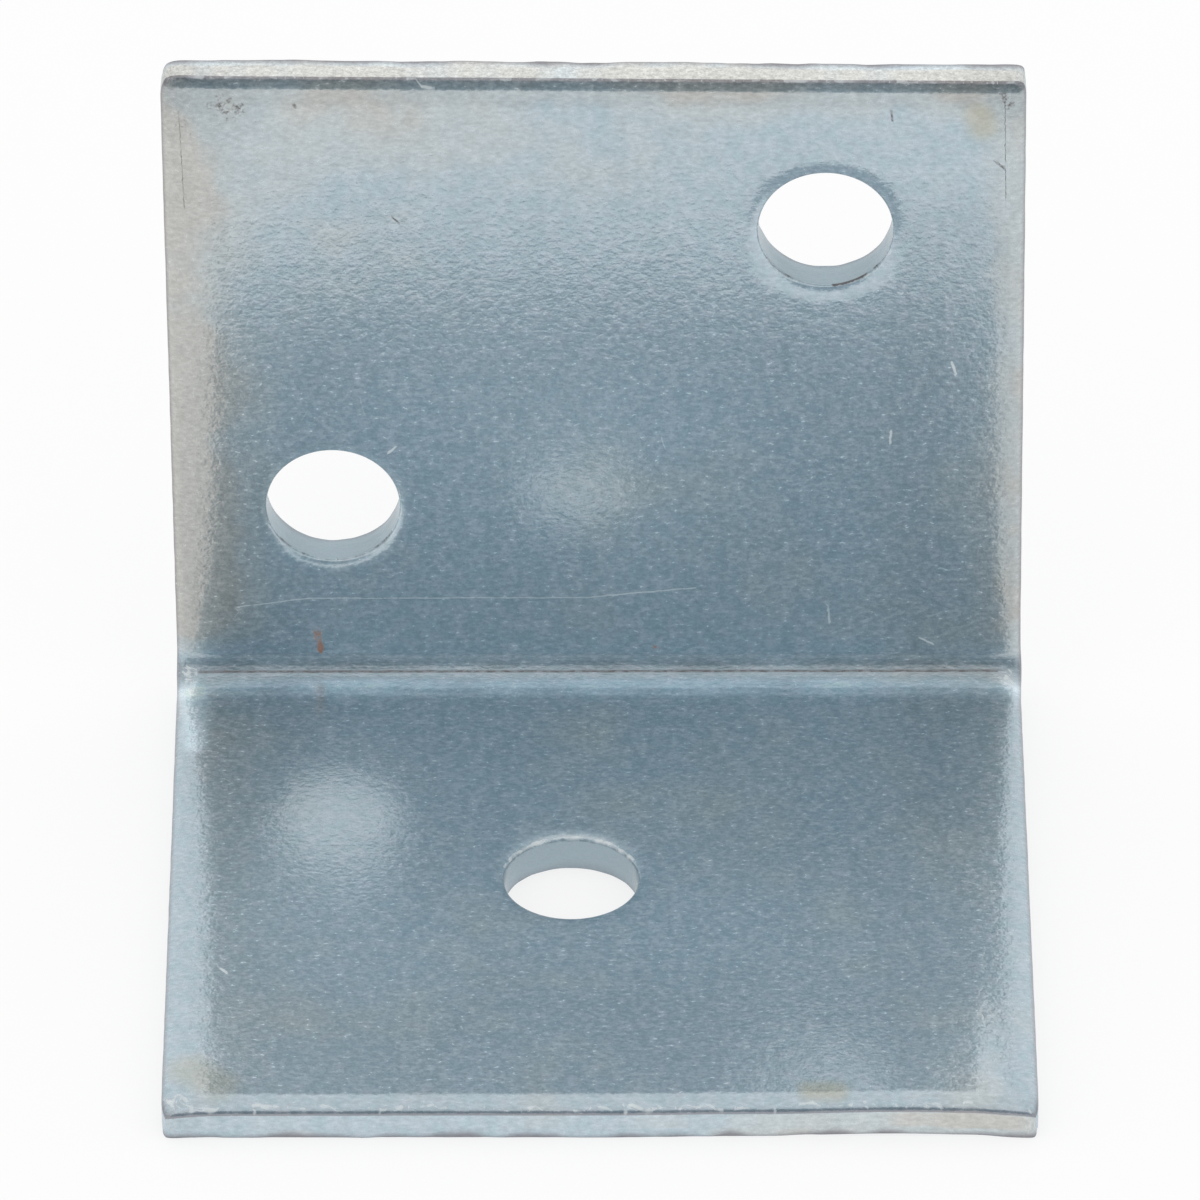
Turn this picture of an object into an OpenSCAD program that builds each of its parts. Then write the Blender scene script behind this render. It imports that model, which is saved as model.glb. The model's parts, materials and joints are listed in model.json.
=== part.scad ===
// Angle bracket: one punched strip of steel sheet with a single right-angle fold.
// Millimetres. The lower leg lies on z = 0, the upright leg stands at the back (+Y),
// and the origin is the middle of the footprint.

/* [Sheet] */
// Width across the bracket, along the fold
plate_w = 57; // [42:0.5:90]
// Height of the upright leg, over the outside of the fold
upright_h = 50.2; // [46:0.1:90]
// Length of the lower leg, over the outside of the fold
foot_l = 50.8; // [36:0.1:90]
// Thickness of the sheet
sheet_t = 2.7; // [2:0.1:4]
// Radius on the inside of the fold
fold_r = 1.3; // [0.4:0.1:4]

/* [Sheared edges] */
// Radius of the four corners of the blank, seen square on
corner_r = 0.7; // [0.3:0.1:4]
// Roll-over where the punch entered, along every edge and hole of the inner faces
edge_roll = 0.5; // [0.2:0.05:0.8]

/* [Holes] */
// Diameter of the three holes, an easy fit for an 8 mm bolt
hole_d = 8.9; // [5:0.1:11]
// Depth of the fracture zone, where each hole widens towards the outer face
break_h = 0.9; // [0.3:0.1:1.2]
// Growth of the hole's radius over the fracture zone
break_out = 0.1; // [0.05:0.05:0.3]
// Low hole of the upright leg: centre from the left edge
low_hole_side = 10.7; // [7:0.1:16]
// Low hole of the upright leg: centre above the underside
low_hole_h = 16.3; // [10:0.1:24]
// High hole of the upright leg: centre from the right edge
high_hole_side = 13.4; // [7:0.1:18]
// High hole of the upright leg: centre above the underside
high_hole_h = 38.5; // [30:0.1:44]
// Hole of the lower leg: centre from the left edge
foot_hole_side = 26.7; // [8:0.1:48]
// Hole of the lower leg: centre from the back face
foot_hole_back = 25.9; // [10:0.1:44]

/* [Hidden] */
$fn = 96;
// Radius on the outside of the fold
outer_r = fold_r + sheet_t;
// Outer face of the upright leg
back_y = foot_l / 2;
// A corner can't be tighter than the roll-over that runs round it
rolled_corner_r = max(corner_r, edge_roll);
// How far a cutter runs past the sheet
past = 1;

// Section of the sheet up to one sheared edge. x runs out to the edge,
// and y runs from the inner face, whose corner is rolled over, to the outer one.
module sheared_edge(depth) {
    square([depth - edge_roll, sheet_t]);
    translate([0, edge_roll])
        square([depth, sheet_t - edge_roll]);
    translate([depth - edge_roll, edge_roll])
        circle(edge_roll);
}

// Section of the whole strip, with a sheared edge on each side
module strip_section() {
    sheared_edge(plate_w / 2);
    mirror([1, 0])
        sheared_edge(plate_w / 2);
}

// One flat leg. x runs across, y away from the fold, z from the inner face to the outer one.
module leg(flat_l) {
    straight_l = flat_l - rolled_corner_r;
    corner_x = plate_w / 2 - rolled_corner_r;
    translate([0, straight_l, 0]) {
        rotate([90, 0, 0])
            linear_extrude(straight_l)
                strip_section();
        rotate([90, 0, 90])
            linear_extrude(2 * corner_x, center = true)
                sheared_edge(rolled_corner_r);
        for (side = [0, 1])
            mirror([side, 0, 0])
                translate([corner_x, 0, 0])
                    rotate_extrude(angle = 90)
                        sheared_edge(rolled_corner_r);
    }
}

// The fold turns the same strip section through a right angle about its inside centre
module fold() {
    rotate([-90, 0, 90])
        rotate_extrude(angle = 90)
            translate([fold_r, 0])
                rotate(-90)
                    strip_section();
}

// Punched hole: the punch enters at z = 0 with a rolled rim, leaves a straight
// burnished wall and tears out a slightly wider cone down to the outer face.
module punched_hole() {
    hole_r = hole_d / 2;
    rotate_extrude() {
        translate([0, -past])
            square([hole_r, sheet_t + 2 * past]);
        difference() {
            translate([0, -past])
                square([hole_r + edge_roll, past + edge_roll]);
            translate([hole_r + edge_roll, edge_roll])
                circle(edge_roll);
        }
        polygon([
            [0, sheet_t - break_h],
            [hole_r, sheet_t - break_h],
            [hole_r + break_out, sheet_t],
            [hole_r + break_out, sheet_t + past],
            [0, sheet_t + past],
        ]);
    }
}

// A hole punched through the upright leg, from its inner face to the back
module upright_hole(x, z) {
    translate([x, back_y - sheet_t, z])
        rotate([-90, 0, 0])
            punched_hole();
}

// A hole punched down through the lower leg
module foot_hole(x, y) {
    translate([x, y, sheet_t])
        rotate([180, 0, 0])
            punched_hole();
}

module angle_plate() {
    color("#b3bcc2")
        difference() {
            union() {
                translate([0, back_y - sheet_t, outer_r])
                    rotate([90, 0, 180])
                        leg(upright_h - outer_r);
                translate([0, back_y - outer_r, outer_r])
                    fold();
                translate([0, back_y - outer_r, sheet_t])
                    rotate([180, 0, 0])
                        leg(foot_l - outer_r);
            }
            upright_hole(low_hole_side - plate_w / 2, low_hole_h);
            upright_hole(plate_w / 2 - high_hole_side, high_hole_h);
            foot_hole(foot_hole_side - plate_w / 2, back_y - foot_hole_back);
        }
}

angle_plate();
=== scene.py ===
# Looks of the zinc-plated angle bracket: one folded, punched plate with its cut edges,
# press marks and plating, on a pale floor in soft light.
import json
import math

import bmesh
import bpy
import numpy as np
from mathutils import Matrix, Vector


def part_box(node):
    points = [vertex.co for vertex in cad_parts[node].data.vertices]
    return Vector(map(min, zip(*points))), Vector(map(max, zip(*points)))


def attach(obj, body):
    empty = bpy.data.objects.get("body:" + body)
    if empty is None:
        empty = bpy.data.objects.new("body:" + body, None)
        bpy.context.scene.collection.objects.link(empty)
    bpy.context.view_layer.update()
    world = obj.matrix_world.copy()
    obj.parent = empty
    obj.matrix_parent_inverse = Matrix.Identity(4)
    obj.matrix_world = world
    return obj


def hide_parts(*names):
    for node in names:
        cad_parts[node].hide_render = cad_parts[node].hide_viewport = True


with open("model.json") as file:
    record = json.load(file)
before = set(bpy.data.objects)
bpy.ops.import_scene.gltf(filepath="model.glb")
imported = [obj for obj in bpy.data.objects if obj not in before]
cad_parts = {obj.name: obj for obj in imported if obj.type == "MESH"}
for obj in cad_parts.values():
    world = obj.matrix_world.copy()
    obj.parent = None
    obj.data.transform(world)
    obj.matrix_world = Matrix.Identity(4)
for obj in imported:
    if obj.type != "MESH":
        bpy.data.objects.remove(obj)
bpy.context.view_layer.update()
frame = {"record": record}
mm = 0.001
tiny = 1e-9                  # keeps a division from failing
close = 1e-6                 # mm, nearer than this is the same place
onCut = 0.003                # mm, nearer to a cut edge than this is its wall
print("frame loaded")

# The plate, in mm where nothing else is said. A ripple is given as its (height, cell).
plate = {
    "thickness": 2.7,
    "insideFold": 1.75,
    "seed": 41,
    # mesh: a square on the open faces, the fine band along the cut edges, which also holds the rounded
    # corners, the rows round the fold, and the square round each hole, so far beyond its rim
    "cell": 0.41, "edgeBand": 2.0, "edgeRows": 11,
    "foldRows": 20, "besideFold": 1.6, "besideRows": (14, 16),
    "holeMargin": 2.0, "holeRows": {"lip": 5, "flat": 6, "wall": 10},
    "wallRows": [(0.0, 0.72, 4), (0.72, 0.9, 4), (0.9, 1.0, 2)],    # between two shares of the way down
    "seamGap": 0.0002, "sharpFrom": 40,      # points nearer than this are joined; degrees
    # how square the corners of the blank are: the power of a superellipse
    "cornerPower": {"topLeft": 3.6, "topRight": 7.0, "frontLeft": 4.4, "frontRight": 6.0},
    # roll-over left by the shear and the punch on the inner faces: on each free edge a gentle shoulder (how
    # wide, how deep, its power), outside it a steep lip (how wide, how deep), on top a bevel (and how soft)
    "roll": {
        "left": {"shoulder": (3.7, 0.27, 2.0), "lip": (0.5, 0.34)},
        "right": {"shoulder": (2.2, 0.14, 2.1), "lip": (0.5, 0.38)},
        "top": {"shoulder": (1.6, 0.05, 2.0), "lip": (0.1, 0.14), "bevel": (0.56, 0.4, 0.06)},
        "front": {"shoulder": (1.1, 0.64, 1.7), "lip": (0.08, 0.26)},
        "hole": {"shoulder": (1.15, 0.22, 2.1), "lip": (0.18, 0.22)},
    },
    # cut walls: a smooth burnished band, then the torn one down to the outer face
    "wall": {
        "tearStart": 2.25, "topTearStart": 2.0, "tearWave": (0.24, 1.7),
        "tearStep": 0.035, "stepSlope": 6.0, "tearTaper": 0.05, "tearUneven": (0.8, 2.6),
        "tearRough": (0.035, 0.9), "roughSlant": 0.6, "sawn": (0.012, 1.1),
        "holeTearStart": 1.95, "holeTearWave": (0.25, 1.9), "holeBreakOut": 0.1, "holeRough": (0.04, 0.9),
        "holeTorn": 0.35,    # how grey a hole's torn part is, against the outline's
        "holeNear": 0.5,     # how far from a rim the wall still counts as the hole's
        "fade": 0.7,         # how far into the faces a ragged edge is felt
    },
    # inside of the fold: how much the corner is filled, where in the turn it is fullest, how much less at its
    # end and how far it runs out onto the lower leg; how much deeper the shoulders are at its two ends, how
    # far across and how far along; the press's marks as (place after the start of the fold, reach, depth),
    # minus for a ridge, the ripples they stray by, and how far from the cut edges they start and are full
    "press": {
        "fill": 0.16, "fillPeak": 0.8, "fillDrop": 0.03, "runOut": 1.4,
        "ends": {"left": 0.2, "right": 0.1}, "endsWidth": 3.4, "endsReach": 3.2,
        "marks": [(0.0, 0.13, -0.012), (2.2, 0.13, -0.01), (2.55, 0.13, 0.02), (3.8, 0.2, -0.006),
                  (5.0, 0.12, 0.01), (5.45, 0.2, -0.012)],
        "stray": [(0.1, 2.3), (0.05, 0.6)], "marksFrom": (0.5, 1.5),
    },
    # small faults of shape, read from the photo
    "shape": {
        "uprightLean": 0.308,    # degrees, side edges of the upright
        "footLean": 0.162,       # degrees, side edges of the lower leg
        "topSlope": -0.541,      # degrees, the top edge falls to the right
        "topSlopeReach": 5.0,    # below the top edge, over which the slope fades
        "frontLift": [(-28.5, 0.0), (0.0, 0.0), (10.0, 0.1), (20.0, 0.27), (24.0, 0.17), (26.8, 0.0),
                      (28.5, 0.0)],
        "frontReach": 16.0,      # back from the front edge, where the lift starts
        # how far down the strip the front and top edges stand at the inner face and, added, at the outer
        "frontRake": (0.27, -0.12), "frontRakeReach": 2.5, "topRake": (-0.12, 0.08), "topRakeReach": 1.2,
        "frontCorners": 0.25, "frontCornerPower": 24,    # how much further out the two front corners stand
        # swelling of the side edges at the fold, how far along and inwards, and its share on both faces
        "foldSwell": {"left": 0.06, "right": 0.11}, "foldSwellReach": 2.0, "foldSwellDepth": 1.6,
        "foldSwellSides": (1.1, -0.4),
    },
}
roll, wall, press, shape = (plate[name] for name in ("roll", "wall", "press", "shape"))

low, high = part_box("angle_plate")
width = (high.x - low.x) / mm
uprightHeight = high.z / mm
backY = high.y / mm
footLength = (high.y - low.y) / mm
outsideFold = plate["insideFold"] + plate["thickness"]
uprightRun = uprightHeight - outsideFold
foldRun = math.pi / 2 * (plate["insideFold"] + plate["thickness"] / 2)
footRun = footLength - outsideFold
sheetLength = uprightRun + foldRun + footRun
foldMiddle = uprightRun + foldRun / 2


def smoothStep(x):
    # 0 below 0, 1 above 1 and three squares less two cubes between
    x = np.clip(x, 0, 1)
    return x * x * (3 - 2 * x)


def ramp(x, start, end, height=1.0):
    # nothing up to the start, eased to the height at the end
    return height * smoothStep((x - start) / (end - start))


def hump(x, middle, reach, height=1.0):
    # the height times e to the minus square of the distance from the middle over the reach
    return height * np.exp(-((x - middle) / reach) ** 2)


def easedBetween(x, knots):
    # heights at the knots, eased from each to the next
    places, heights = np.array(knots).T
    index = np.clip(np.searchsorted(places, x) - 1, 0, len(places) - 2)
    ease = smoothStep((x - places[index]) / (places[index + 1] - places[index]))
    return heights[index] + (heights[index + 1] - heights[index]) * ease


def ripple(x, y, size, seed):
    # random heights up to the size's first number, on a lattice of its second, eased from point to point
    height, cell = size
    count, offset = 97, 500      # squares before the lattice repeats, and where on it the sheet lies
    lattice = np.random.default_rng(seed).uniform(-1, 1, (count, count))
    x, y = x / cell + offset, y / cell + offset
    column, row = np.floor(x).astype(int), np.floor(y).astype(int)
    easeX, easeY = smoothStep(x - column), smoothStep(y - row)
    nextColumn, nextRow = (column + 1) % count, (row + 1) % count
    column, row = column % count, row % count
    near = lattice[row, column] * (1 - easeX) + lattice[row, nextColumn] * easeX
    far = lattice[nextRow, column] * (1 - easeX) + lattice[nextRow, nextColumn] * easeX
    return height * (near * (1 - easeY) + far * easeY)


def leanAt(s):
    # sideways shift of the strip at s: the upright leans left, the lower leg runs off to the right
    above = np.maximum(uprightHeight - plate["thickness"] - s, 0)
    beyond = np.maximum(s - uprightRun - foldRun, 0)
    left, right = (math.tan(math.radians(shape[name])) for name in ("uprightLean", "footLean"))
    return beyond * right - above * left


holes = []
for mount in frame["record"]["mounts"]:
    if mount["kind"] != "bore":
        continue
    x, y, z = (value / mm for value in mount["pos_m"])
    inUpright = abs(mount["axis"][1]) > 0.5
    s = uprightHeight - z if inUpright else uprightRun + foldRun + (backY - y) - outsideFold
    holes.append({"name": mount["name"], "u": x - float(leanAt(s)), "s": s, "r": mount["dims"]["r_mm"]})
print("holes on the flat sheet:", [(h["name"], round(h["u"], 2), round(h["s"], 2)) for h in holes])


def shoulder(d, edge):
    # falls from its full depth at the cut edge to nothing at its width, with a power of the distance
    reach, depth, power = roll[edge]["shoulder"]
    return depth * np.clip(1 - d / reach, 0, 1) ** power


def lip(d, edge):
    # quarter ellipse over the last bit before the cut, on a straight bevel where the edge has one
    reach, depth = roll[edge]["lip"]
    steep = depth * (1 - np.sqrt(np.clip(1 - np.clip(1 - d / reach, 0, 1) ** 2, 0, 1)))
    if "bevel" in roll[edge]:
        reach, depth, soft = roll[edge]["bevel"]
        steep = steep + depth / reach * soft * np.logaddexp(0, (reach - d) / soft)
    return steep


def edgePlace(u, s):
    # Rounds the corners of the blank: in each corner square of the edge band, a point at (ax, ay)
    # moves along its ray until its superellipse norm is what its larger coordinate was.
    # Gives the moved point, the distance from the nearest cut edge and the outward direction.
    band, power = plate["edgeBand"], plate["cornerPower"]
    ax = np.clip((np.abs(u) - width / 2 + band) / band, 0, 1)
    ay = np.clip(np.maximum(band - s, s - sheetLength + band) / band, 0, 1)
    left, top = u < 0, s < sheetLength / 2
    p = np.where(top, np.where(left, power["topLeft"], power["topRight"]),
                 np.where(left, power["frontLeft"], power["frontRight"]))
    norm = (ax ** p + ay ** p) ** (1 / p)
    pull = np.where(norm > 0, np.maximum(ax, ay) / np.maximum(norm, tiny), 1)
    bx, by = ax * pull, ay * pull
    signU, signS = np.sign(u), np.where(top, -1, 1)
    movedU, movedS = u + signU * (bx - ax) * band, s + signS * (by - ay) * band
    outU, outS = signU * bx ** (p - 1), signS * by ** (p - 1)
    length = np.maximum(np.hypot(outU, outS), tiny)
    return movedU, movedS, band * (1 - np.maximum(ax, ay)), outU / length, outS / length


def holePlace(u, s, hole):
    # distance beyond the hole's rim and the direction away from its centre
    du, ds = u - hole["u"], s - hole["s"]
    away = np.maximum(np.hypot(du, ds), tiny)
    return away - hole["r"], du / away, ds / away


def nearestHole(u, s):
    # distance beyond the nearest rim
    return np.min([np.maximum(holePlace(u, s, hole)[0], 0) for hole in holes], axis=0)


def foldMarks(u, s):
    # the inside of the fold: filled by a smooth rise and a square-law fall, with the press's marks on it
    past = s - uprightRun
    turn = past / foldRun
    peak, fill, drop = press["fillPeak"], press["fill"], press["fillDrop"]
    rise, fall = fill * smoothStep(turn / peak), fill - drop * ((turn - peak) / (1 - peak)) ** 2
    runOut = (fill - drop) * np.clip(1 - (past - foldRun) / press["runOut"], 0, 1) ** 2
    marks = -np.where(turn < peak, rise, np.where(turn < 1, fall, runOut))
    seed = plate["seed"] + 5
    stray = sum(ripple(u, 0 * u, size, seed + index) for index, size in enumerate(press["stray"]))
    for place, reach, depth in press["marks"]:
        marks = marks + hump(past - stray, place, reach, depth)
    return marks


def innerDepth(u, s):
    # depth of the inner face below the flat sheet: the lip and shoulder along the outline, deeper at the ends
    # of the fold, those round the holes, and away from the cuts the press marks
    movedU, movedS, d, outU, outS = edgePlace(u, s)
    left, top = u < 0, s < sheetLength / 2
    depth = outU ** 2 * np.where(left, lip(d, "left"), lip(d, "right"))
    depth = depth + outS ** 2 * np.where(top, lip(d, "top"), lip(d, "front"))
    depth = depth + shoulder(width / 2 + u, "left") + shoulder(width / 2 - u, "right")
    depth = depth + shoulder(s, "top") + shoulder(sheetLength - s, "front")
    ends = np.where(left, press["ends"]["left"], press["ends"]["right"])
    ends = ends * np.clip(1 - (width / 2 - np.abs(u)) / press["endsWidth"], 0, 1) ** 2
    depth = depth + ends * hump(s, foldMiddle, press["endsReach"])
    for hole in holes:
        beyond = np.maximum(holePlace(u, s, hole)[0], 0)
        depth = depth + lip(beyond, "hole") + shoulder(beyond, "hole")
    return depth + ramp(d, *press["marksFrom"]) * foldMarks(u, s)


def sheetPoint(u, s, w):
    # A point of the flat sheet (u across, s down the strip from its top edge, w below the inner face)
    # to its place on the bracket, with the ragged cut edges, the small faults of shape and the fold.
    # Gives also its place on the sheet with the walls unrolled, and where it lies from the cuts.
    thickness, seed = plate["thickness"], plate["seed"]
    movedU, movedS, d, outU, outS = edgePlace(u, s)
    tearStart = np.where(s < sheetLength / 2, wall["topTearStart"], wall["tearStart"])
    torn = w - tearStart - ripple(movedU, movedS, wall["tearWave"], seed)
    torn = np.clip(torn / (thickness - tearStart), 0, 1)
    inset = torn * wall["tearTaper"] + smoothStep(torn * wall["stepSlope"]) * wall["tearStep"]
    inset = inset * (1 + ripple(movedU, movedS, wall["tearUneven"], seed + 1))
    ragged = torn * ripple(movedU, movedS + w * wall["roughSlant"], wall["tearRough"], seed + 2)
    sawn = ripple(movedU, movedS, wall["sawn"], seed + 3)
    push = np.clip(1 - d / wall["fade"], 0, 1) ** 2 * (sawn + ragged - inset)
    newU, newS = movedU + outU * push, movedS + outS * push
    # each hole widens where it tears
    tornAtHole = 0 * u
    for index, hole in enumerate(holes):
        beyond, awayU, awayS = holePlace(u, s, hole)
        near = np.clip(1 - beyond / wall["fade"], 0, 1) ** 2
        start = wall["holeTearStart"] + ripple(u, s, wall["holeTearWave"], seed + 10 + index)
        tornHole = np.clip((w - start) / (thickness - start), 0, 1)
        grow = tornHole * (wall["holeBreakOut"] + ripple(u, s, wall["holeRough"], seed + 20 + index))
        newU, newS = newU + awayU * near * grow, newS + awayS * near * grow
        tornAtHole = np.where(near > 0, tornHole, tornAtHole)
    # swelling of the side edges where the inside of the fold was squeezed
    swell = np.where(u < 0, -shape["foldSwell"]["left"], shape["foldSwell"]["right"])
    inner, outer = shape["foldSwellSides"]
    swell = swell * hump(s, foldMiddle, shape["foldSwellReach"]) * (inner + (outer - inner) * w / thickness)
    newU = newU + swell * np.clip(1 - d / shape["foldSwellDepth"], 0, 1)
    # top edge out of square and raked
    fadeTop = np.clip(1 - s / shape["topSlopeReach"], 0, 1)
    newS = newS - newU * math.tan(math.radians(shape["topSlope"])) * fadeTop
    newU = newU + leanAt(s)
    inner, outer = shape["topRake"]
    newS = newS + (inner + outer * w / thickness) * np.clip(1 - s / shape["topRakeReach"], 0, 1) ** 2
    # front edge lifted between its corners and raked
    lift = easedBetween(u, shape["frontLift"]) * ramp(s, sheetLength - shape["frontReach"], sheetLength)
    inner, outer = shape["frontRake"]
    out = inner + outer * w / thickness
    out = out + shape["frontCorners"] * np.abs(2 * u / width) ** shape["frontCornerPower"]
    newS = newS + out * ramp(s, sheetLength - shape["frontRakeReach"], sheetLength)
    # fold: straight down the upright, a quarter turn about the inside centre, straight out on the lower leg
    turn = np.clip((newS - uprightRun) / foldRun, 0, 1) * math.pi / 2
    radius = plate["insideFold"] + w
    above = np.maximum(uprightRun - newS, 0)
    beyond = np.maximum(newS - uprightRun - foldRun, 0)
    y = backY - outsideFold + radius * np.cos(turn) - beyond
    z = outsideFold - radius * np.sin(turn) + above + lift
    # the pattern's place: the sheet with its cut walls unrolled round it and into the holes
    depth = np.where(w < thickness - close, w, 0)
    unroll = depth * (d < plate["edgeBand"] - close)
    skin = np.stack([u + outU * unroll, s + outS * unroll, w], -1)
    for hole in holes:
        beyond, awayU, awayS = holePlace(u, s, hole)
        skin -= np.stack([awayU, awayS, 0 * u], -1) * (depth * (beyond < onCut))[:, None]
    # distance from the nearest cut, how torn the wall is, and where the wall is a hole's
    atHole = nearestHole(u, s)
    isHole = atHole < wall["holeNear"]
    torn = np.where(isHole, wall["holeTorn"] * tornAtHole, torn)
    cut = np.stack([np.minimum(d, atHole), torn, isHole], -1)
    return np.stack([newU, y, z], -1), skin, cut


squareHalf = holes[0]["r"] + plate["holeMargin"]
holeCells = round(2 * squareHalf / plate["cell"])


def gridLines(length, start, centres, extra=()):
    # lines over one direction: a fine band at each cut edge, equal squares across each hole, the rest between
    band = plate["edgeBand"]
    fine = band * np.linspace(0, 1, plate["edgeRows"] + 1) ** 2
    lines, at, last = [start + fine], start + band, start + length
    stops = sorted([(c - squareHalf, c + squareHalf, holeCells) for c in centres] + list(extra))
    for begin, end, count in stops + [(last - band, last - band, 0)]:
        if begin - at > close:
            lines.append(np.linspace(at, begin, max(1, round((begin - at) / plate["cell"])) + 1))
        lines.append(np.linspace(begin, end, count + 1))
        at = end
    flat = np.concatenate(lines + [last - fine[::-1]])
    return flat[np.concatenate([[True], np.diff(flat) > close])]


foldEnd = uprightRun + foldRun
rowsBefore, rowsAfter = plate["besideRows"]
foldStops = [
    (uprightRun - plate["besideFold"], uprightRun, rowsBefore),
    (uprightRun, foldEnd, plate["foldRows"]),
    (foldEnd, foldEnd + plate["besideFold"], rowsAfter),
]
across = gridLines(width, -width / 2, [hole["u"] for hole in holes])
along = gridLines(sheetLength, 0, [hole["s"] for hole in holes], foldStops)
print("grid lines:", len(across), "across,", len(along), "along")

corners, quads = [], []      # parameter points (u, s, w) and quads of all patches


def addPatch(u, s, w, keep=None):
    # a rectangular array of parameter points, joined square by square
    first = sum(len(c) for c in corners)
    rows, columns = u.shape
    index = first + np.arange(rows * columns).reshape(rows, columns)
    corners.append(np.stack([u.ravel(), s.ravel(), w.ravel()], -1))
    faces = np.stack([index[:-1, :-1], index[:-1, 1:], index[1:, 1:], index[1:, :-1]], -1)
    if keep is not None:
        faces = faces[keep]
    quads.append(faces.reshape(-1, 4))


def addFaces(u, s, keep=None):
    # the inner face, rolled over and marked, and the flat outer one
    addPatch(u, s, innerDepth(u, s), keep)
    addPatch(u, s, np.full(u.shape, plate["thickness"]), keep)


def addWall(u, s, shares):
    # straight from the rim of the inner face to the outer face, with a row at each share of the way
    rim = innerDepth(u, s)
    w = rim + (plate["thickness"] - rim) * shares[:, None]
    addPatch(np.broadcast_to(u, w.shape), np.broadcast_to(s, w.shape), w)


def squareRing(hole):
    # the hole's square of grid points in order round it, from its top left corner, and the angle of each
    insideU = across[np.abs(across - hole["u"]) < squareHalf + close]
    insideS = along[np.abs(along - hole["s"]) < squareHalf + close]
    n = len(insideU) - 1
    ringU = np.concatenate([insideU[:-1], np.full(n, insideU[-1]), insideU[:0:-1], np.full(n, insideU[0])])
    ringS = np.concatenate([np.full(n, insideS[0]), insideS[:-1], np.full(n, insideS[-1]), insideS[:0:-1]])
    angle = math.radians(-135) + np.arange(4 * n) / (4 * n) * 2 * math.pi
    return tuple(np.append(part, part[0]) for part in (ringU, ringS, angle))


# both faces but for the holes' squares
midU, midS = (across[:-1] + across[1:]) / 2, (along[:-1] + along[1:]) / 2
openSquares = np.ones((len(midS), len(midU)), bool)
for hole in holes:
    nearU, nearS = np.abs(midU - hole["u"]) < squareHalf, np.abs(midS - hole["s"]) < squareHalf
    openSquares &= ~(nearU[None, :] & nearS[:, None])
addFaces(*np.meshgrid(across, along), openSquares)

# cut walls round the outline, from the top left corner to the right and round
rightSide, leftSide = np.full(len(along) - 1, across[-1]), np.full(len(along), across[0])
topSide, frontSide = np.full(len(across) - 1, along[0]), np.full(len(across) - 1, along[-1])
outlineU = np.concatenate([across[:-1], rightSide, across[:0:-1], leftSide])
outlineS = np.concatenate([topSide, along[:-1], frontSide, along[::-1]])
shares = [np.linspace(start, end, rows + 1)[:-1] for start, end, rows in plate["wallRows"]]
addWall(outlineU, outlineS, np.concatenate(shares + [[1.0]]))

# rings round the holes, and their walls
for hole in holes:
    ringU, ringS, angle = squareRing(hole)
    rows, lipWidth = plate["holeRows"], roll["hole"]["lip"][0]
    rings = []
    for r in hole["r"] + lipWidth * np.linspace(0, 1, rows["lip"] + 1) ** 2:
        rings.append((hole["u"] + r * np.cos(angle), hole["s"] + r * np.sin(angle)))
    lipU, lipS = rings[-1]
    for share in np.linspace(0, 1, rows["flat"] + 1)[1:]:
        rings.append((lipU + (ringU - lipU) * share, lipS + (ringS - lipS) * share))
    addFaces(*(np.stack(part) for part in zip(*rings)))
    addWall(*rings[0], np.linspace(0, 1, rows["wall"] + 1))

corners, quads = np.concatenate(corners), np.concatenate(quads)
place, skin, cut = sheetPoint(*corners.T)
print("plate:", len(corners), "points in", len(quads), "squares before the seams are joined")

# Film of the passivation, in mm across and down the flat sheet: noises as (cell, octaves), ramps as (where
# there is none, where all, how much), bands as (place, reach, how much), and clouds as lines from a start
# to an end with their reach and how much
film = {
    "seed": 7, "clouds": (8.0, 4), "patches": (1.7, 2), "streaks": (1.5, 2), "streakStretch": 0.12,
    "innerUpTo": 2.0,        # below the inner face; what lies deeper has the outer faces' film, and no soil
    "outerShift": 60.0,      # between the clouds of the inner and the outer faces
    "cloudWarmth": 0.32, "patchWarmth": 0.08, "outerWarmth": 0.4, "patchShade": 0.016, "streakShade": 0.008,
    "leftWarm": (-20.5, -27.8), "rightWarm": (24.0, 28.0, 0.6),
    "topWarm": (10.0, 1.0, 0.75), "topWarmAcross": (12.0, -14.0), "edgeWarm": (0.0, 2.4, 0.65),
    "warmEnd": (47.0, 43.0), "topWallWarm": 0.3, "frontWallWarm": (-2.0, 14.0, 0.75),
    # darker clouds of the film; the last two, by the side edges across the fold, are painted shade
    "dimCloudsAndShade": [((24.0, 14.0), (24.5, 42.0), 8.0, 0.08), ((-27.5, 1.2), (-25.0, 2.2), 4.0, 0.06),
                  ((26.0, 1.0), (27.5, 1.2), 3.5, 0.09), ((-23.0, 46.0), (-22.5, 62.0), 6.0, 0.08),
                  ((23.8, 45.0), (24.0, 64.0), 6.0, 0.08)],
    # painted light: brighter patches on the upright and the lower leg, and a painted highlight along the left
    # edge below the fold
    "paintedLightClouds": [((-6.0, 29.0), (2.0, 30.0), 15.0, 0.1), ((-19.0, 77.0), (-14.0, 80.0), 10.0, 0.08),
                     ((-4.0, 77.0), (13.0, 79.0), 10.0, 0.06), ((-27.3, 51.0), (-27.0, 57.0), 1.3, 0.4)],
    # after the start of the fold, a band of painted shade and a band of painted highlight; their ripples
    "foldShadow": (1.9, 1.3, 0.25), "foldHighlight": (4.75, 1.1, 0.38), "foldUneven": [(0.35, 3.1), (0.2, 0.7)],
    # painted shade under the top edge's bevel, on the inner face from this far from the cut
    "underBevelShade": (1.0, 1.7, 0.1), "bevel": (0.62, 0.32, 0.22), "bevelFrom": 0.02,
    "topWall": 0.2, "sides": 0.05, "lowSidesShade": (12.0, 42.0, 0.06),    # painted highlight on the top cut wall; painted shade by the sides of the upright, more near the fold
    "rimReach": 0.2, "rim": 0.8,
}
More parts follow.
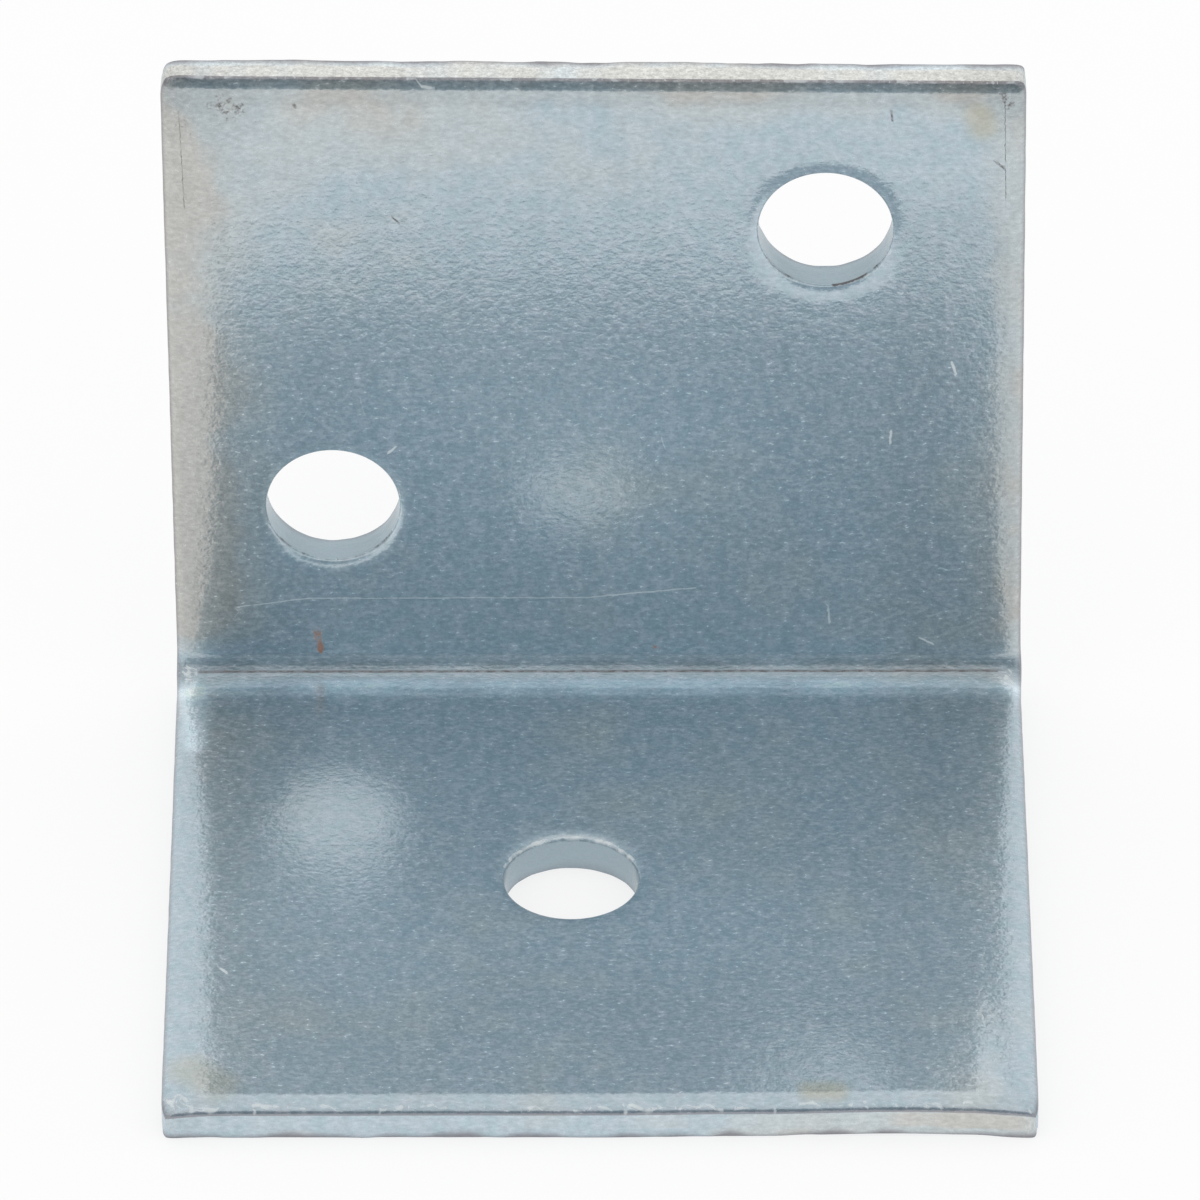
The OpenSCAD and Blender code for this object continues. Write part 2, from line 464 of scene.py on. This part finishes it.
# and what lies on it
soil = {
    "smudge": [((-24.6, 1.8), (-23.6, 2.2), 1.8, 0.47), ((-27.2, 2.8), (-27.0, 4.0), 1.3, 0.36),
               ((27.0, 0.8), (27.4, 1.6), 0.8, 0.5)],
    "rust": [((-18.75, 45.3), (-18.75, 45.8), 0.45, 1.0), ((-19.0, 44.0), (-18.8, 45.4), 0.7, 0.75),
             ((3.9, 45.4), (3.95, 45.5), 0.4, 0.9)],
    "stain": [((-26.7, 93.2), (-24.8, 94.8), 2.2, 0.5), ((13.6, 95.6), (15.4, 95.7), 1.2, 0.7),
              ((25.4, 2.4), (25.6, 3.4), 1.5, 0.7)],
    # grime under the holes, by how far down from the centre, and its ripple
    "holeRim": {"upright_hole_low": 0.62, "upright_hole_high": 0.8, "foot_hole": 0.0}, "holeRimReach": 0.2,
    "holeRimDown": (-0.1, 0.7), "holeRimBase": 0.75, "holeRimPatches": (0.45, 0.7),
    # a speckled dark band under the top edge's bevel, carried with the grime
    "bevel": (0.38, 0.22, 0.34),
}


def fractal(x, y, noise, seed):
    # ripples of ever smaller cells, each 0.6 as strong as the one before
    cell, octaves = noise
    return sum(ripple(x, y, (0.6 ** k, cell / 2 ** k), seed + k) for k in range(octaves))


def fromStroke(u, s, start, end):
    # vector to each point from the nearest place on the line from start to end
    alongU, alongS = end[0] - start[0], end[1] - start[1]
    share = np.clip(((u - start[0]) * alongU + (s - start[1]) * alongS) / (alongU ** 2 + alongS ** 2), 0, 1)
    return u - start[0] - share * alongU, s - start[1] - share * alongS


def blots(u, s, items):
    # soft-edged spots round lines: full strength on the line and a little way out, nothing at the reach
    core = 1.3
    total = 0 * u
    for start, end, reach, strength in items:
        away = np.hypot(*fromStroke(u, s, start, end))
        total = np.maximum(total, strength * smoothStep(core * (1 - away / reach)))
    return total


def filmMap(u, s, w, fromCut):
    # how warm, how bright and, at the rims, how grey the film is, with painted light and shade in its
    # brightness; the outer faces have clouds of their own
    inner, seed = w < film["innerUpTo"], film["seed"]
    onTop, onFront = s < onCut, s > sheetLength - onCut
    x = u + np.where(inner, 0, film["outerShift"])
    clouds = fractal(x, s, film["clouds"], seed)
    patches = fractal(x, s, film["patches"], seed + 10)
    streaks = fractal(x, s * film["streakStretch"], film["streaks"], seed + 20)
    side = np.maximum(ramp(u, *film["leftWarm"]), ramp(u, *film["rightWarm"]))
    top = ramp(s, *film["topWarm"]) * ramp(u, *film["topWarmAcross"])
    warm = np.maximum(side, np.maximum(top, hump(s, *film["edgeWarm"]))) * ramp(s, *film["warmEnd"])
    warm = warm * np.where(inner, 1, film["outerWarmth"])
    warm = warm + film["cloudWarmth"] * clouds + film["patchWarmth"] * patches
    warm = warm + film["topWallWarm"] * onTop + ramp(u, *film["frontWallWarm"]) * onFront
    shade = 1 + film["patchShade"] * patches + film["streakShade"] * streaks
    # brighter and darker clouds, painted light and painted shade among them
    shade = shade + inner * (blots(u, s, film["paintedLightClouds"]) - blots(u, s, film["dimCloudsAndShade"]))
    # painted shade in a band under the top edge's bevel
    below = hump(s, *film["underBevelShade"]) + ramp(s, *film["bevel"])
    shade = shade - below * (inner & (w > 0) & (fromCut > film["bevelFrom"]))
    # painted shade by the side edges of the upright, deeper towards the fold
    shade = shade - side * (film["sides"] + ramp(s, *film["lowSidesShade"])) * (s < uprightRun)
    # painted shade and a painted highlight in bands across the fold, rippled along it
    longRipple, shortRipple = film["foldUneven"]
    uneven = 1 + ripple(u, 0 * u, longRipple, seed + 40) + ripple(u, s, shortRipple, seed + 41)
    bands = hump(s - uprightRun, *film["foldHighlight"]) - hump(s - uprightRun, *film["foldShadow"])
    # and a painted highlight on the top cut wall
    shade = shade + bands * uneven * inner + film["topWall"] * onTop
    rim = film["rim"] * np.clip(1 - edgePlace(u, s)[2] / film["rimReach"], 0, 1) * inner
    return np.stack([warm, shade, rim], -1)


def soilMap(u, s, w):
    # grime, rust and stain on the inner faces, and a speckled dark band under the top edge
    grime = np.maximum(blots(u, s, soil["smudge"]), hump(s, *soil["bevel"]))
    for index, hole in enumerate(holes):
        beyond, awayU, awayS = holePlace(u, s, hole)
        patchy = soil["holeRimBase"] + ripple(u, s, soil["holeRimPatches"], film["seed"] + 30 + index)
        rim = np.clip(1 - beyond / soil["holeRimReach"], 0, 1) * ramp(awayS, *soil["holeRimDown"])
        grime = np.maximum(grime, soil["holeRim"][hole["name"]] * rim * patchy * (beyond > onCut))
    inner = w < film["innerUpTo"]
    return np.stack([grime, blots(u, s, soil["rust"]), blots(u, s, soil["stain"])], -1) * inner[:, None]


# Scratches, painted glints and dark lines: each runs from place to place with a half width, a minus for a
# dark one
seam = foldMiddle + 0.13
wear = {
    "reach": 1.4,            # from a stroke, beyond which it isn't looked for
    "none": (9.0, 9.0, 0.05),    # where none is near: a vector and a half width that it lies far outside of
    "seen": [                # in the photo
        ((-24.6, 42.1), (-19.5, 41.35), 0.05), ((-19.5, 41.35), (-0.7, 41.3), 0.05),
        ((-0.7, 41.3), (6.6, 40.5), 0.06), ((-14.2, 29.7), (-13.4, 29.0), 0.09),
        ((19.7, 27.6), (19.6, 28.8), 0.08), ((23.7, 22.1), (24.0, 23.2), 0.09),
        ((21.6, 44.6), (22.7, 45.3), 0.07), ((15.5, 42.0), (15.6, 43.6), 0.07),
        ((-24.9, 82.3), (-24.4, 82.9), 0.1), ((25.0, 87.4), (25.2, 88.9), 0.06),
        ((-11.3, 0.42), (-10.5, 0.5), 0.08), ((-13.5, 10.3), (-12.9, 11.0), -0.06),
        ((-27.3, 2.1), (-27.1, 10.0), -0.025), ((27.1, 1.4), (27.2, 9.9), -0.025),
        ((26.3, 6.0), (26.8, 6.5), -0.04), ((-19.7, 1.7), (-19.6, 1.9), -0.11),
        ((19.6, 2.0), (19.7, 2.9), -0.08), ((-26.9, seam), (27.4, seam), -0.16),
    ],
    # short hairlines at random places, clear of the fold and the holes
    "hairlines": 55, "hairFrom": (-27, 3), "hairTo": (27, sheetLength - 3), "hairReach": (0.2, 0.9),
    "hairWidths": [0.03, 0.04, 0.03, -0.02], "foldClear": 2.5, "holeClear": 1.0,
    # painted glints: arcs on the rims of the holes, in degrees, of short strokes with widths between two
    "rims": {
        "upright_hole_low": {"arcs": [(28, 62), (108, 160), (-20, 12)], "widths": (0.02, 0.06)},
        "upright_hole_high": {"arcs": [(20, 60), (115, 150)], "widths": (0.02, 0.06)},
        "foot_hole": {"arcs": [(-165, -20)], "widths": (0.02, 0.1)},
    },
    "rimStep": 5, "rimTurn": 0.08, "rimBeyond": (0.08, 0.18),
    # spots of painted glints at the ends of the fold and in a corner: middle, reach across and along, how
    # many strokes
    "glintSpots": [(-27.6, seam + 0.8, 0.5, 1.7, 26), (27.6, seam + 0.8, 0.5, 1.3, 20),
                 (-27.6, sheetLength - 0.8, 0.7, 0.5, 16)],
    "glintSpotStep": 0.2, "glintSpotWidth": 0.07, "glintSpotVaries": 0.04,
    # painted glints: specks along the top edge and, so far back from it, along the front edge
    "specks": 90, "speckAcross": (-28, 28), "speckLength": (0.05, 0.4), "speckSlant": (-0.05, 0.05),
    "topSpecks": [0.02, 0.06], "topWidths": (0.02, 0.07),
    "frontSpecks": (0.1, 0.45), "frontWidths": (0.03, 0.09),
}
strokes = list(wear["seen"])
rng = np.random.default_rng(plate["seed"])
for index in range(wear["hairlines"]):
    middle, turn = rng.uniform(wear["hairFrom"], wear["hairTo"]), rng.uniform(0, math.pi)
    step = rng.uniform(*wear["hairReach"]) * np.array([math.cos(turn), math.sin(turn)])
    if abs(middle[1] - seam) > wear["foldClear"] and nearestHole(*middle) > wear["holeClear"]:
        strokes.append((tuple(middle - step), tuple(middle + step), rng.choice(wear["hairWidths"])))
for hole in holes:
    rim = wear["rims"][hole["name"]]
    for turn in np.radians(np.concatenate([np.arange(*arc, wear["rimStep"]) for arc in rim["arcs"]])):
        r, turns = hole["r"] + rng.uniform(*wear["rimBeyond"]), (turn, turn + wear["rimTurn"])
        start, end = ((hole["u"] + r * math.cos(a), hole["s"] + r * math.sin(a)) for a in turns)
        strokes.append((start, end, rng.uniform(*rim["widths"])))
for middleU, middleS, reachU, reachS, count in wear["glintSpots"]:
    for u, s, stepU, stepS, wider in rng.uniform(-1, 1, (count, 5)):
        u, s = middleU + reachU * u, middleS + reachS * s
        end = (u + wear["glintSpotStep"] * stepU, s + wear["glintSpotStep"] * stepS)
        strokes.append(((u, s), end, wear["glintSpotWidth"] + wear["glintSpotVaries"] * wider))
for index in range(wear["specks"]):
    u, length = rng.uniform(*wear["speckAcross"]), rng.uniform(*wear["speckLength"])
    s = rng.choice(wear["topSpecks"])
    end = (u + length, s + rng.uniform(*wear["speckSlant"]))
    strokes.append(((u, s), end, rng.uniform(*wear["topWidths"])))
    u, s = rng.uniform(*wear["speckAcross"]), sheetLength - rng.uniform(*wear["frontSpecks"])
    end = (u + length, s + rng.uniform(*wear["speckSlant"]))
    strokes.append(((u, s), end, rng.uniform(*wear["frontWidths"])))


def strokeMap(u, s, w):
    # vector from the nearest stroke, and the stroke's half width
    field = np.tile(wear["none"], (len(u), 1))
    nearest = np.full(len(u), wear["reach"])
    for start, end, half in strokes:
        du, ds = fromStroke(u, s, start, end)
        away = np.hypot(du, ds)
        nearer = (away < nearest) & (w < film["innerUpTo"])
        nearest = np.where(nearer, away, nearest)
        field[nearer] = np.stack([du, ds, np.full(len(u), half)], -1)[nearer]
    return field


maps = {"sheet": skin, "cut": cut, "film": filmMap(*corners.T, cut[:, 0]), "soil": soilMap(*corners.T),
        "stroke": strokeMap(*corners.T)}
mesh = bpy.data.meshes.new("zincPlate")
mesh.from_pydata((place * mm).tolist(), [], quads.tolist())
for name, values in maps.items():
    layer = mesh.attributes.new(name, "FLOAT_VECTOR", "POINT")
    layer.data.foreach_set("vector", values.ravel().astype(np.float32))
print("maps on the plate:", list(maps), "and", len(strokes), "strokes")
work = bmesh.new()
work.from_mesh(mesh)
bmesh.ops.remove_doubles(work, verts=work.verts, dist=plate["seamGap"] * mm)
bmesh.ops.recalc_face_normals(work, faces=work.faces)
openEdges = sum(1 for e in work.edges if not e.is_manifold)
work.to_mesh(mesh)
work.free()
mesh.shade_smooth()
mesh.set_sharp_from_angle(angle=math.radians(plate["sharpFrom"]))
bracket = bpy.data.objects.new("zincPlate", mesh)
bpy.context.scene.collection.objects.link(bracket)
print("plate:", len(mesh.vertices), "points,", 2 * len(mesh.polygons), "triangles,", openEdges, "open edges")

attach(bracket, "root")
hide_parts("angle_plate")


def tone(code):
    # sRGB hex to linear
    parts = [int(code[i:i + 2], 16) / 255 for i in (1, 3, 5)]
    return tuple(c / 12.92 if c <= 0.04045 else ((c + 0.055) / 1.055) ** 2.4 for c in parts) + (1.0,)


def add(tree, kind, *inputs, **settings):
    # a node with its settings and its inputs in order: a value, a node's output, or None to leave one alone
    node = tree.nodes.new("ShaderNode" + kind)
    for name, value in settings.items():
        setattr(node, name, value)
    for socket, value in zip(node.inputs, inputs):
        if isinstance(value, bpy.types.NodeSocket):
            tree.links.new(value, socket)
        elif value is not None:
            socket.default_value = value
    return node.outputs


# Painted glints along the hole rims, the cut edges and the fold ends come with the scratches.
# Bright zinc electroplate with a clear bluish passivation: orange-peel of the rolled sheet under the plating,
# pale blue to warm clouds of the film, tiny nicks from the barrel, grime and grey torn metal at the cuts.
# Pairs are what a value is eased or ramped between.
zinc = {
    "blueFilm": "#c0d2da", "lilacFilm": "#c4d0d9", "paleFilm": "#ccd5d8", "warmFilm": "#cfcfcb",
    "lilac": (-0.6, 0.6), "pale": (0.0, 0.55), "warm": (0.5, 1.0),    # by the waves, and by the warmth
    # of the plating between its matt grains, of the grains, and what wear and soil add
    "brightRoughness": 0.18, "mattRoughness": 0.56, "wornRoughness": 0.25, "soiledRoughness": 0.2,
    "mattShare": 0.45, "mattGrain": 0.06,
    # noises in mm: waves, the bumps of the orange-peel, the grain on them, and dashes twice as long as wide
    "grain": {
        "wave": {"size": 1.1, "detail": 1.0, "roughness": 0.5, "height": 0.004, "shade": 0.045},
        "peel": {"size": 0.4, "detail": 1.0, "roughness": 0.6, "height": 0.0042, "shade": 0.015},
        "fine": {"size": 0.13, "detail": 0.0, "roughness": 0.5, "height": 0.0014, "shade": 0.015},
        "dash": {"size": 0.27, "detail": 2.0, "roughness": 0.6, "height": 0.0016, "shade": 0.1},
    },
    "dashStretch": (0.5, 1, 1), "finePeel": 0.8,
    "nick": (0.8, 1.1), "nickDepth": 0.004,
    # how far a scratch strays in mm, its edge in half widths, and the half width of the strongest
    "stray": 0.04, "scratchEdge": (1.6, 0.4), "strongest": 0.11, "darkBroken": (-0.4, 0.4, 0.35, 0.85),
    "grimeGrain": -0.16, "grimeEdge": (0.4, 0.7, 0.0, 0.85),
    "rustGrain": 0.2, "rustEdge": (0.25, 0.7, 0.0, 0.8),
    "wallFrom": (0.012, 0.004), "topWallFrom": (-0.1, -0.4), "topWallShade": 0.2,    # first two in mm
    # what covers the film, in order, and how much of it is hidden
    "layers": {
        "rim": ("#8f8a90", 1.0), "holeWall": ("#a9b9c1", 1.0), "tornWall": ("#837d84", 0.75),
        "grime": ("#5f5654", 1.0), "stain": ("#cbbf9c", 0.6), "rust": ("#9a5f3a", 1.0),
        # scratches and painted glints, in one light colour
        "scratchAndGlint": ("#e6ebec", 0.8), "nick": ("#e6ebec", 0.2),
    },
    # what isn't metal scatters: a thin haze that follows the grain, and what wear, soil and the painted
    # glints add to it
    "haze": 0.04,
    "scatter": {"speckle": 0.04, "wave": 0.06, "dash": 0.1, "nick": 0.1, "scratchAndGlint": 0.55, "grime": 0.4,
                "rust": 0.8},
}


def brightZinc():
    material = bpy.data.materials.new("brightZincElectroplate")
    material.use_nodes = True
    tree = material.node_tree
    tree.nodes.clear()
    sheet = add(tree, "Attribute", attribute_name="sheet")[1]
    edge, torn, inHole = add(tree, "SeparateXYZ", add(tree, "Attribute", attribute_name="cut")[1])
    warmth, shade, rim = add(tree, "SeparateXYZ", add(tree, "Attribute", attribute_name="film")[1])
    grime, rust, stain = add(tree, "SeparateXYZ", add(tree, "Attribute", attribute_name="soil")[1])
    stroke = add(tree, "Attribute", attribute_name="stroke")[1]
    half = add(tree, "SeparateXYZ", stroke)[2]

    # the cut walls' part, the faces', and the top wall's, where the unrolled sheet runs below 0
    cutWall = add(tree, "MapRange", edge, *zinc["wallFrom"], 0.0, 1.0, interpolation_type="SMOOTHSTEP")[0]
    face = add(tree, "Math", 1.0, cutWall, operation="SUBTRACT")[0]
    down = add(tree, "SeparateXYZ", sheet)[1]
    topWall = add(tree, "MapRange", down, *zinc["topWallFrom"], 0.0, zinc["topWallShade"])[0]
    part = {
        "rim": add(tree, "Math", rim, face, operation="MULTIPLY")[0],
        "holeWall": add(tree, "Math", cutWall, inHole, operation="MULTIPLY")[0],
        "tornWall": add(tree, "Math", cutWall, torn, operation="MULTIPLY")[0],
        "stain": stain,
    }

    # the satin of the sheet: each noise is about 0 in the middle
    stretched = add(tree, "VectorMath", sheet, zinc["dashStretch"], operation="MULTIPLY")[0]
    for name, noise in zinc["grain"].items():
        spot = stretched if name == "dash" else sheet
        part[name] = add(tree, "TexNoise", spot, None, 1 / noise["size"], noise["detail"], noise["roughness"],
                         noise_dimensions="2D", normalize=False)[0]
    speckle = add(tree, "Math", part["fine"], zinc["finePeel"], part["peel"], operation="MULTIPLY_ADD")[0]
    part["speckle"] = speckle

    # nicks: light specks on the faces where the dashes are highest
    nick = add(tree, "MapRange", part["dash"], *zinc["nick"], 0.0, 1.0)[0]
    part["nick"] = add(tree, "Math", nick, face, operation="MULTIPLY")[0]

    # scratches: how far the place, strayed a little, is from the nearest stroke, over the stroke's half width
    strayU = add(tree, "Math", part["peel"], zinc["stray"], operation="MULTIPLY")[0]
    strayS = add(tree, "Math", part["wave"], zinc["stray"], operation="MULTIPLY")[0]
    stray = add(tree, "CombineXYZ", strayU, strayS)[0]
    stroke = add(tree, "VectorMath", stroke, (1, 1, 0), stray, operation="MULTIPLY_ADD")[0]
    reach = add(tree, "VectorMath", stroke, operation="LENGTH")[1]
    reach = add(tree, "Math", reach, add(tree, "Math", half, operation="ABSOLUTE")[0], operation="DIVIDE")[0]
    hair = add(tree, "MapRange", reach, *zinc["scratchEdge"], 0.0, 1.0, interpolation_type="SMOOTHSTEP")[0]
    # light ones are scratches and painted glints, and the wider one is, the stronger it is; a dark one is
    # broken up by the dashes
    light = add(tree, "MapRange", half, 0.0, zinc["strongest"], 0.0, 1.0)[0]
    hairOnFace = add(tree, "Math", hair, face, operation="MULTIPLY")[0]
    part["scratchAndGlint"] = add(tree, "Math", light, hairOnFace, operation="MULTIPLY")[0]
    # dark strokes, among them the line along the inside of the fold, darken the colour as the grime layer
    # does
    isDark = add(tree, "Math", half, 0.0, operation="LESS_THAN")[0]
    dark = add(tree, "Math", hair, isDark, operation="MULTIPLY")[0]
    broken = add(tree, "MapRange", part["dash"], *zinc["darkBroken"])[0]
    dark = add(tree, "Math", dark, broken, operation="MULTIPLY")[0]

    # grime and rust gather in the grain, so their edges break up
    grime = add(tree, "Math", speckle, zinc["grimeGrain"], grime, operation="MULTIPLY_ADD")[0]
    grime = add(tree, "MapRange", grime, *zinc["grimeEdge"], interpolation_type="SMOOTHSTEP")[0]
    part["grime"] = add(tree, "Math", dark, grime, operation="ADD", use_clamp=True)[0]
    rusty = add(tree, "Math", speckle, zinc["rustGrain"], rust, operation="MULTIPLY_ADD")[0]
    rust = add(tree, "Math", rusty, rust, operation="MULTIPLY")[0]
    part["rust"] = add(tree, "MapRange", rust, *zinc["rustEdge"], interpolation_type="SMOOTHSTEP")[0]

    # the film's colour by its warmth, its shade, painted light and shade in it, by the grain, and then what
    # covers it
    lilac = add(tree, "MapRange", part["wave"], *zinc["lilac"], 0.0, 1.0)[0]
    pale = add(tree, "MapRange", warmth, *zinc["pale"], 0.0, 1.0, interpolation_type="SMOOTHSTEP")[0]
    warm = add(tree, "MapRange", warmth, *zinc["warm"], 0.0, 1.0, interpolation_type="SMOOTHSTEP")[0]
    colour = add(tree, "MixRGB", lilac, tone(zinc["blueFilm"]), tone(zinc["lilacFilm"]))[0]
    colour = add(tree, "MixRGB", pale, colour, tone(zinc["paleFilm"]))[0]
    colour = add(tree, "MixRGB", warm, colour, tone(zinc["warmFilm"]))[0]
    height = 0.0
    for name, noise in zinc["grain"].items():
        shade = add(tree, "Math", part[name], noise["shade"], shade, operation="MULTIPLY_ADD")[0]
        height = add(tree, "Math", part[name], noise["height"], height, operation="MULTIPLY_ADD")[0]
    shade = add(tree, "Math", speckle, topWall, shade, operation="MULTIPLY_ADD")[0]
    colour = add(tree, "MixRGB", 1.0, colour, shade, blend_type="MULTIPLY")[0]
    for name, (code, cover) in zinc["layers"].items():
        share = add(tree, "Math", part[name], cover, operation="MULTIPLY")[0]
        colour = add(tree, "MixRGB", share, colour, tone(code))[0]
    height = add(tree, "Math", part["nick"], -zinc["nickDepth"], height, operation="MULTIPLY_ADD")[0]
    bump = add(tree, "Bump", 1.0, mm, None, height)[0]

    worn = add(tree, "Math", part["nick"], part["scratchAndGlint"], operation="MAXIMUM")[0]
    soiled = add(tree, "Math", part["tornWall"], part["rust"], operation="MAXIMUM")[0]
    soiled = add(tree, "Math", soiled, part["grime"], operation="MAXIMUM")[0]
    rough = zinc["brightRoughness"]
    rough = add(tree, "Math", worn, zinc["wornRoughness"], rough, operation="MULTIPLY_ADD")[0]
    rough = add(tree, "Math", soiled, zinc["soiledRoughness"], rough, operation="MULTIPLY_ADD")[0]
    haze = zinc["haze"]
    for name, scatter in zinc["scatter"].items():
        haze = add(tree, "Math", part[name], scatter, haze, operation="MULTIPLY_ADD")[0]
    metal = add(tree, "Math", 1.0, haze, operation="SUBTRACT", use_clamp=True)[0]
    # bright plating and its matt grains, finer than the eye can part: a sharp mirror image in a wide glow
    bright = add(tree, "BsdfPrincipled", colour, metal, rough, None, None, bump)[0]
    matt = add(tree, "BsdfPrincipled", colour, metal, zinc["mattRoughness"], None, None, bump)[0]
    share = add(tree, "Math", speckle, zinc["mattGrain"], zinc["mattShare"], operation="MULTIPLY_ADD")[0]
    add(tree, "OutputMaterial", add(tree, "MixShader", share, bright, matt)[0])
    print("material brightZincElectroplate:", len(tree.nodes), "nodes")
    return material


bracket.data.materials.append(brightZinc())


# Lens, sensor, distance and clipping in mm, turns in degrees
camera = {
    "lens": 430.84, "sensor": 36.0, "distance": 971.2, "clip": (10.0, 20000.0),
    "pitch": 35.276, "yaw": 0.184, "roll": 0.179,
    "picture": 1200, "foldInPicture": (598.85, 672.22),      # pixel of the middle of the inside corner
}


def photoCamera():
    # stands back from the inside corner of the fold along the ray through the corner's pixel
    data = bpy.data.cameras.new("photoCamera")
    data.lens, data.sensor_width = camera["lens"], camera["sensor"]
    data.clip_start, data.clip_end = (reach * mm for reach in camera["clip"])
    pitch, yaw, turn = (math.radians(camera[key]) for key in ("pitch", "yaw", "roll"))
    forward = Vector((-math.sin(yaw) * math.cos(pitch), math.cos(yaw) * math.cos(pitch), -math.sin(pitch)))
    right = Vector((math.cos(yaw), math.sin(yaw), 0))
    up = right.cross(forward)
    rolledRight = math.cos(turn) * right - math.sin(turn) * up
    rolledUp = math.sin(turn) * right + math.cos(turn) * up
    focal = camera["lens"] / camera["sensor"] * camera["picture"]
    offX, offY = (pixel - camera["picture"] / 2 for pixel in camera["foldInPicture"])
    ray = forward + rolledRight * offX / focal - rolledUp * offY / focal
    corner = Vector((0, backY - plate["thickness"], plate["thickness"])) * mm
    item = bpy.data.objects.new("photoCamera", data)
    basis = Matrix((rolledRight, rolledUp, -forward)).transposed()
    item.matrix_world = Matrix.Translation(corner - ray * camera["distance"] * mm) @ basis.to_4x4()
    bpy.context.scene.collection.objects.link(item)
    bpy.context.scene.camera = item


photoCamera()

# White paper under the plate, in metres. What the camera and the mirroring metal see of it is mostly
# its own glow, so that the shadow on it stays faint
paper = {"reach": 4.0, "drop": 0.00002, "white": "#fafafa", "glow": 0.75}
floorCorners = [(x * paper["reach"], y * paper["reach"], 0) for x, y in ((-1, -1), (1, -1), (1, 1), (-1, 1))]
floorMesh = bpy.data.meshes.new("floor")
floorMesh.from_pydata(floorCorners, [], [(0, 1, 2, 3)])
floor = bpy.data.objects.new("floor", floorMesh)
floor.location.z = -paper["drop"]
bpy.context.scene.collection.objects.link(floor)
whitePaper = bpy.data.materials.new("whitePaper")
whitePaper.use_nodes = True
tree = whitePaper.node_tree
tree.nodes.clear()
path = add(tree, "LightPath")
matt = add(tree, "BsdfDiffuse", tone(paper["white"]))[0]
glow = add(tree, "Emission", (1, 1, 1, 1), 1.0)[0]
share = add(tree, "Math", path["Is Camera Ray"], path["Is Glossy Ray"], operation="MAXIMUM")[0]
share = add(tree, "Math", share, paper["glow"], operation="MULTIPLY")[0]
add(tree, "OutputMaterial", add(tree, "MixShader", share, matt, glow)[0])
floor.data.materials.append(whitePaper)

# Soft white studio; round the camera a dim bluish part of the room, which the polished faces mirror
studio = {
    "dimTone": "#899da8",
    "dimHeight": 20.0, "dimInner": 25.0, "dimOuter": 38.0,    # degrees up, and from its middle
    "top": 1.04, "sides": 0.45, "ceiling": 0.22,    # strength, and how much is lost to the sides and up
}
world = bpy.data.worlds.new("softStudio")
bpy.context.scene.world = world
world.use_nodes = True
tree = world.node_tree
tree.nodes.clear()
direction = add(tree, "TexCoord")[0]
aim = math.radians(studio["dimHeight"])
toCamera = add(tree, "VectorMath", direction, (0, -math.cos(aim), math.sin(aim)), operation="DOT_PRODUCT")[1]
outer, inner = (math.cos(math.radians(studio[key])) for key in ("dimOuter", "dimInner"))
dim = add(tree, "MapRange", toCamera, outer, inner, 0.0, 1.0, interpolation_type="SMOOTHSTEP")[0]
room = add(tree, "MixRGB", dim, (1, 1, 1, 1), tone(studio["dimTone"]))[0]
squared = add(tree, "VectorMath", direction, direction, operation="MULTIPLY")[0]
lost = add(tree, "VectorMath", squared, (studio["sides"], 0, studio["ceiling"]), operation="DOT_PRODUCT")[1]
strength = add(tree, "Math", studio["top"], lost, operation="SUBTRACT")[0]
mirrored = add(tree, "Background", room, strength)[0]
plain = add(tree, "Background", (1, 1, 1, 1), 1.0)[0]
glossy = add(tree, "LightPath")["Is Glossy Ray"]
add(tree, "OutputWorld", add(tree, "MixShader", glossy, plain, mirrored)[0])
print("camera, floor and light done")

bpy.context.scene.view_settings.view_transform = "Standard"
